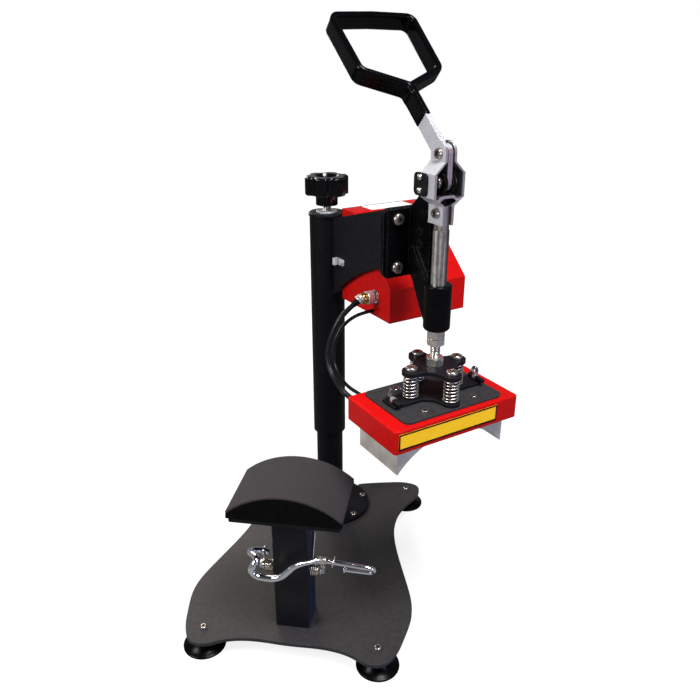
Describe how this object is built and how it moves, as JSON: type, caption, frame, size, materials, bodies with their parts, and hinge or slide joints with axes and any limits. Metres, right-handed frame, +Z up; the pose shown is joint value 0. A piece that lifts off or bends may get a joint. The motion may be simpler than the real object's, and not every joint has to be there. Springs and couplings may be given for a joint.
{
  "type": "cap heat press",
  "caption": "Swing-arm heat press with a curved heated platen, a toggle handle and a curved lower form for pressing caps.",
  "frame": {"origin": "where the axis of the column meets the floor", "axes": "+Z up the column, -Y towards the operator, +X to the operator's right"},
  "size_m": [0.4109, 0.406, 0.7523],
  "materials": {
    "black_powder_coat": "matte black powder coat",
    "charcoal_powder_coat": "charcoal powder coat",
    "red_enamel": "glossy red enamel",
    "bright_zinc": "bright zinc plate",
    "chrome": "polished chrome",
    "nickel": "nickel plate",
    "cast_aluminium": "machined cast aluminium",
    "bronze": "sintered bronze",
    "black_rubber": "moulded rubber",
    "silicone": "grey-black silicone foam",
    "black_form": "black form block",
    "vinyl": "black dipped vinyl",
    "bakelite": "black bakelite",
    "black_plastic": "black moulded plastic",
    "panel_film": "printed panel film",
    "display": "smoked display window",
    "circuit": "glass-fibre board",
    "fibre_board": "ceramic fibre",
    "yellow_label": "yellow plate with a black border"
  },
  "bodies": {
    "base": {"base_plate": "charcoal_powder_coat", "foot_pads": "black_rubber", "base_screws": "bright_zinc", "column_flange": "charcoal_powder_coat", "column_tube": "charcoal_powder_coat", "post": "black_powder_coat", "form_board": "black_powder_coat", "form_block": "black_form", "form_pad": "silicone", "tensioner_axle": "bright_zinc", "torsion_springs": "bright_zinc"},
    "tensioner": {"tensioner_rod": "chrome"},
    "thrust_pad": {"thrust_button": "bright_zinc"},
    "height_knob": {"height_screw": "bright_zinc", "star_knob": "bakelite"},
    "arm": {"column_sleeve": "black_powder_coat", "sleeve_cap": "black_powder_coat", "cap_washer": "bright_zinc", "sleeve_bushes": "bronze", "arm_plate": "black_powder_coat", "end_plate": "black_powder_coat", "clamp_bolts": "bright_zinc", "cable_clip": "bright_zinc", "frame_left": "black_powder_coat", "frame_right": "black_powder_coat", "frame_rivets": "bright_zinc", "guide_sleeve": "black_powder_coat", "handle_pivot_bolt": "bright_zinc", "control_box": "red_enamel", "box_cover": "black_powder_coat", "panel_plate": "panel_film", "display_window": "display", "circuit_board": "circuit", "mains_inlet": "black_plastic", "panel_socket": "chrome", "cable_plug": "nickel", "head_cable": "black_rubber", "sensor_cable": "black_rubber"},
    "down_key": {"button_down": "black_plastic"},
    "set_key": {"button_set": "black_plastic"},
    "up_key": {"button_up": "black_plastic"},
    "rocker": {"power_rocker": "black_plastic"},
    "handle": {"handle_bars": "bright_zinc", "handle_grip": "vinyl"},
    "link": {"toggle_link": "bright_zinc", "link_bolts": "bright_zinc"},
    "plunger": {"plunger": "chrome", "adjusting_stud": "bright_zinc", "lock_nuts": "bright_zinc", "upper_cross_plate": "black_powder_coat", "compression_springs": "bright_zinc"},
    "head": {"head_fasteners": "bright_zinc", "lower_cross_plate": "black_powder_coat", "end_clips": "bright_zinc", "head_top_plate": "black_powder_coat", "head_cover": "red_enamel", "insulation_board": "fibre_board", "heating_element": "cast_aluminium", "label_plate": "yellow_label", "cable_glands": "nickel"}
  },
  "joints": [
    {"name": "arm_swing", "type": "hinge", "parent": "base", "child": "thrust_pad", "pos_m": [0, 0, 0.468], "axis": [0, 0, 1], "range_deg": [-130, 50]},
    {"name": "knob_turn", "type": "hinge", "parent": "thrust_pad", "child": "height_knob", "pos_m": [0, 0, 0.52], "axis": [0, 0, 1], "range_deg": [-1440.1, 411.6]},
    {"name": "arm_lift", "type": "slide", "parent": "thrust_pad", "child": "arm", "axis": [0, 0, 1], "range_m": [-0.002, 0.007]},
    {"name": "handle_turn", "type": "hinge", "parent": "arm", "child": "handle", "pos_m": [0.16198, -0.19304, 0.584], "axis": [0.766, 0.6428, 0], "range_deg": [0, 180]},
    {"name": "link_turn", "type": "hinge", "parent": "handle", "child": "link", "pos_m": [0.16198, -0.19304, 0.614], "axis": [0.766, 0.6428, 0], "range_deg": [-180, 0]},
    {"name": "plunger_slide", "type": "slide", "parent": "arm", "child": "plunger", "axis": [0, 0, -1], "range_m": [0, 0.06]},
    {"name": "head_float", "type": "slide", "parent": "plunger", "child": "head", "axis": [0, 0, 1], "range_m": [0, 0.006], "stiffness_N_per_m": 16000, "springref_m": -0.003, "deforming": ["compression_springs"]},
    {"name": "tensioner_swing", "type": "hinge", "parent": "base", "child": "tensioner", "pos_m": [0, -0.262, 0.113], "axis": [1, 0, 0], "range_deg": [0, 45], "stiffness_Nm_per_rad": 0.6, "springref_deg": -17.19},
    {"name": "button_down_press", "type": "slide", "parent": "arm", "child": "down_key", "axis": [-0.4355, 0.5191, -0.7354], "range_m": [0, 0.001], "stiffness_N_per_m": 1000, "springref_m": -0.0004},
    {"name": "button_set_press", "type": "slide", "parent": "arm", "child": "set_key", "axis": [-0.4355, 0.5191, -0.7354], "range_m": [0, 0.001], "stiffness_N_per_m": 1000, "springref_m": -0.0004},
    {"name": "button_up_press", "type": "slide", "parent": "arm", "child": "up_key", "axis": [-0.4355, 0.5191, -0.7354], "range_m": [0, 0.001], "stiffness_N_per_m": 1000, "springref_m": -0.0004},
    {"name": "power_switch", "type": "hinge", "parent": "arm", "child": "rocker", "pos_m": [0.11826, 0.01308, 0.391], "axis": [0.766, 0.6428, 0], "range_deg": [-18, 0]}
  ],
  "couplings": [
    {"joint": "knob_turn", "follows": "arm_lift", "rad_per_m": -3590.4},
    {"joint": "link_turn", "follows": "handle_turn", "ratio": -1},
    {"joint": "plunger_slide", "follows": "handle_turn", "m_per_rad": 0.019098}
  ]
}
